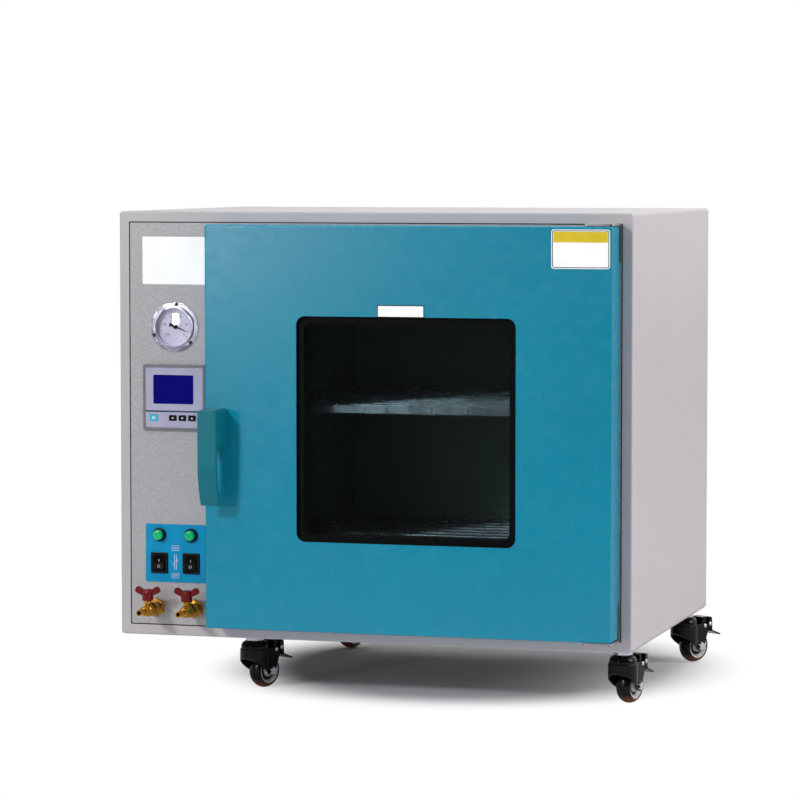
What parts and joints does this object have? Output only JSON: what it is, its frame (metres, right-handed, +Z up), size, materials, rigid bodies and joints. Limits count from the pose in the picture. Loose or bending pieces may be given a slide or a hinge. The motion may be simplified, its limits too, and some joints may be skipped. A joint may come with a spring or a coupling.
{
  "type": "vacuum oven",
  "caption": "Vacuum drying oven: box cabinet, windowed side-hinged door with lever, gauge, controller, hose valves and braked swivel casters.",
  "frame": {"origin": "on the floor, in the middle of the bounding box's footprint", "axes": "+X to the right as seen from the front, +Y to the back, +Z up; the door is on the -Y side"},
  "size_m": [0.7926, 0.644, 0.699],
  "materials": {
    "cabinet_paint": "satin, fine texture",
    "panel_paint": "hammer tone",
    "door_paint": "satin, fine orange peel",
    "handle_paint": "satin",
    "stainless": "brushed",
    "galvanised": "matte",
    "bright_steel": "polished",
    "jacket": "matte fibre",
    "silicone": "matte",
    "clear_pane": "clear",
    "dark_frame": "matte",
    "dial_face": "matte",
    "needle_black": "matte",
    "controller_grey": "fine texture",
    "display_navy": "gloss",
    "button_cyan": "matte",
    "button_black": "matte",
    "plate_blue": "satin",
    "black_plastic": "gloss",
    "lamp_green": "gloss",
    "valve_red": "gloss",
    "brass": "polished",
    "caster_black": "gloss",
    "rim_white": "satin",
    "tyre_brown": "semi-gloss"
  },
  "bodies": {
    "cabinet": {"cabinet_shell": "cabinet_paint", "rear_panel": "cabinet_paint", "base_plate": "galvanised", "front_panel": "panel_paint", "inner_chamber": "stainless", "heater_plates": "silicone", "insulation": "jacket", "temperature_sensor": "stainless", "shelf_rails": "stainless", "door_gasket": "silicone", "hinge_brackets": "galvanised", "striker_plate": "galvanised", "gauge_case": "bright_steel", "gauge_dial": "dial_face", "gauge_lens": "clear_pane", "controller_case": "controller_grey", "controller_display": "display_navy", "indicator_plate": "plate_blue", "lamp_bodies": "black_plastic", "lamp_lenses": "lamp_green", "switch_frames": "black_plastic", "valve_bodies": "brass", "pipes": "stainless", "power_inlet": "black_plastic", "caster_stems": "bright_steel"},
    "door": {"door_shell": "door_paint", "door_inner_frame": "stainless", "window_guard": "clear_pane", "window_spacer": "dark_frame", "safety_glass": "clear_pane", "handle_block": "handle_paint"},
    "handle": {"handle_lever": "handle_paint", "latch_shaft": "bright_steel"},
    "shelf_upper": {"shelf_upper": "stainless"},
    "shelf_lower": {"shelf_lower": "stainless"},
    "gauge_needle": {"gauge_needle": "needle_black"},
    "button_set": {"button_set": "button_cyan"},
    "button_left": {"button_left": "button_black"},
    "button_down": {"button_down": "button_black"},
    "button_up": {"button_up": "button_black"},
    "rocker_left": {"rocker_left": "black_plastic"},
    "rocker_right": {"rocker_right": "black_plastic"},
    "valve_handle_vacuum": {"valve_handle_vacuum": "valve_red"},
    "valve_handle_air": {"valve_handle_air": "valve_red"},
    "caster_front_left": {"caster_fork_front_left": "caster_black"},
    "wheel_front_left": {"caster_tyre_front_left": "tyre_brown", "caster_rim_front_left": "rim_white"},
    "pedal_front_left": {"caster_pedal_front_left": "caster_black"},
    "caster_front_right": {"caster_fork_front_right": "caster_black"},
    "wheel_front_right": {"caster_tyre_front_right": "tyre_brown", "caster_rim_front_right": "rim_white"},
    "pedal_front_right": {"caster_pedal_front_right": "caster_black"},
    "caster_rear_left": {"caster_fork_rear_left": "caster_black"},
    "wheel_rear_left": {"caster_tyre_rear_left": "tyre_brown", "caster_rim_rear_left": "rim_white"},
    "pedal_rear_left": {"caster_pedal_rear_left": "caster_black"},
    "caster_rear_right": {"caster_fork_rear_right": "caster_black"},
    "wheel_rear_right": {"caster_tyre_rear_right": "tyre_brown", "caster_rim_rear_right": "rim_white"},
    "pedal_rear_right": {"caster_pedal_rear_right": "caster_black"}
  },
  "joints": [
    {"name": "door_hinge", "type": "hinge", "parent": "cabinet", "child": "door", "pos_m": [0.33978, -0.251, 0.39], "axis": [0, 0, 1], "range_deg": [0, 160]},
    {"name": "handle_turn", "type": "hinge", "parent": "door", "child": "handle", "pos_m": [-0.22772, -0.313, 0.39], "axis": [0, 1, 0], "range_deg": [0, 90]},
    {"name": "shelf_upper_slide", "type": "slide", "parent": "cabinet", "child": "shelf_upper", "axis": [0, -1, 0], "range_m": [0, 0.018]},
    {"name": "shelf_lower_slide", "type": "slide", "parent": "cabinet", "child": "shelf_lower", "axis": [0, -1, 0], "range_m": [0, 0.018]},
    {"name": "needle_turn", "type": "hinge", "parent": "cabinet", "child": "gauge_needle", "pos_m": [-0.31122, -0.216, 0.531], "axis": [0, -1, 0], "range_deg": [0, 222], "stiffness_Nm_per_rad": 0.001},
    {"name": "button_set_press", "type": "slide", "parent": "cabinet", "child": "button_set", "axis": [0, 1, 0], "range_m": [0, 0.0008], "stiffness_N_per_m": 300},
    {"name": "button_left_press", "type": "slide", "parent": "cabinet", "child": "button_left", "axis": [0, 1, 0], "range_m": [0, 0.0008], "stiffness_N_per_m": 300},
    {"name": "button_down_press", "type": "slide", "parent": "cabinet", "child": "button_down", "axis": [0, 1, 0], "range_m": [0, 0.0008], "stiffness_N_per_m": 300},
    {"name": "button_up_press", "type": "slide", "parent": "cabinet", "child": "button_up", "axis": [0, 1, 0], "range_m": [0, 0.0008], "stiffness_N_per_m": 300},
    {"name": "rocker_left_tilt", "type": "hinge", "parent": "cabinet", "child": "rocker_left", "pos_m": [-0.33572, -0.2178, 0.1855], "axis": [1, 0, 0], "range_deg": [0, 10]},
    {"name": "rocker_right_tilt", "type": "hinge", "parent": "cabinet", "child": "rocker_right", "pos_m": [-0.28672, -0.2178, 0.1855], "axis": [1, 0, 0], "range_deg": [0, 10]},
    {"name": "valve_vacuum_turn", "type": "hinge", "parent": "cabinet", "child": "valve_handle_vacuum", "pos_m": [-0.34122, -0.258, 0.1336], "axis": [0, 0, 1], "range_deg": [0, 90]},
    {"name": "valve_air_turn", "type": "hinge", "parent": "cabinet", "child": "valve_handle_air", "pos_m": [-0.28122, -0.258, 0.1336], "axis": [0, 0, 1], "range_deg": [0, 90]},
    {"name": "swivel_front_left", "type": "hinge", "parent": "cabinet", "child": "caster_front_left", "pos_m": [-0.20322, -0.181, 0.079], "axis": [0, 0, 1], "continuous": true},
    {"name": "roll_front_left", "type": "hinge", "parent": "caster_front_left", "child": "wheel_front_left", "pos_m": [-0.19445, -0.16302, 0.025], "axis": [-0.8988, 0.4384, 0], "continuous": true},
    {"name": "brake_front_left", "type": "hinge", "parent": "caster_front_left", "child": "pedal_front_left", "pos_m": [-0.19051, -0.15493, 0.0565], "axis": [-0.8988, 0.4384, 0], "range_deg": [0, 16]},
    {"name": "swivel_front_right", "type": "hinge", "parent": "cabinet", "child": "caster_front_right", "pos_m": [0.34878, -0.181, 0.079], "axis": [0, 0, 1], "continuous": true},
    {"name": "roll_front_right", "type": "hinge", "parent": "caster_front_right", "child": "wheel_front_right", "pos_m": [0.35429, -0.16178, 0.025], "axis": [-0.9613, 0.2756, 0], "continuous": true},
    {"name": "brake_front_right", "type": "hinge", "parent": "caster_front_right", "child": "pedal_front_right", "pos_m": [0.35678, -0.15312, 0.0565], "axis": [-0.9613, 0.2756, 0], "range_deg": [0, 16]},
    {"name": "swivel_rear_left", "type": "hinge", "parent": "cabinet", "child": "caster_rear_left", "pos_m": [-0.20322, 0.254, 0.079], "axis": [0, 0, 1], "continuous": true},
    {"name": "roll_rear_left", "type": "hinge", "parent": "caster_rear_left", "child": "wheel_rear_left", "pos_m": [-0.19322, 0.27132, 0.025], "axis": [-0.866, 0.5, 0], "continuous": true},
    {"name": "brake_rear_left", "type": "hinge", "parent": "caster_rear_left", "child": "pedal_rear_left", "pos_m": [-0.18872, 0.27912, 0.0565], "axis": [-0.866, 0.5, 0], "range_deg": [0, 16]},
    {"name": "swivel_rear_right", "type": "hinge", "parent": "cabinet", "child": "caster_rear_right", "pos_m": [0.34878, 0.254, 0.079], "axis": [0, 0, 1], "continuous": true},
    {"name": "roll_rear_right", "type": "hinge", "parent": "caster_rear_right", "child": "wheel_rear_right", "pos_m": [0.35967, 0.27077, 0.025], "axis": [-0.8387, 0.5446, 0], "continuous": true},
    {"name": "brake_rear_right", "type": "hinge", "parent": "caster_rear_right", "child": "pedal_rear_right", "pos_m": [0.36458, 0.27832, 0.0565], "axis": [-0.8387, 0.5446, 0], "range_deg": [0, 16]}
  ]
}
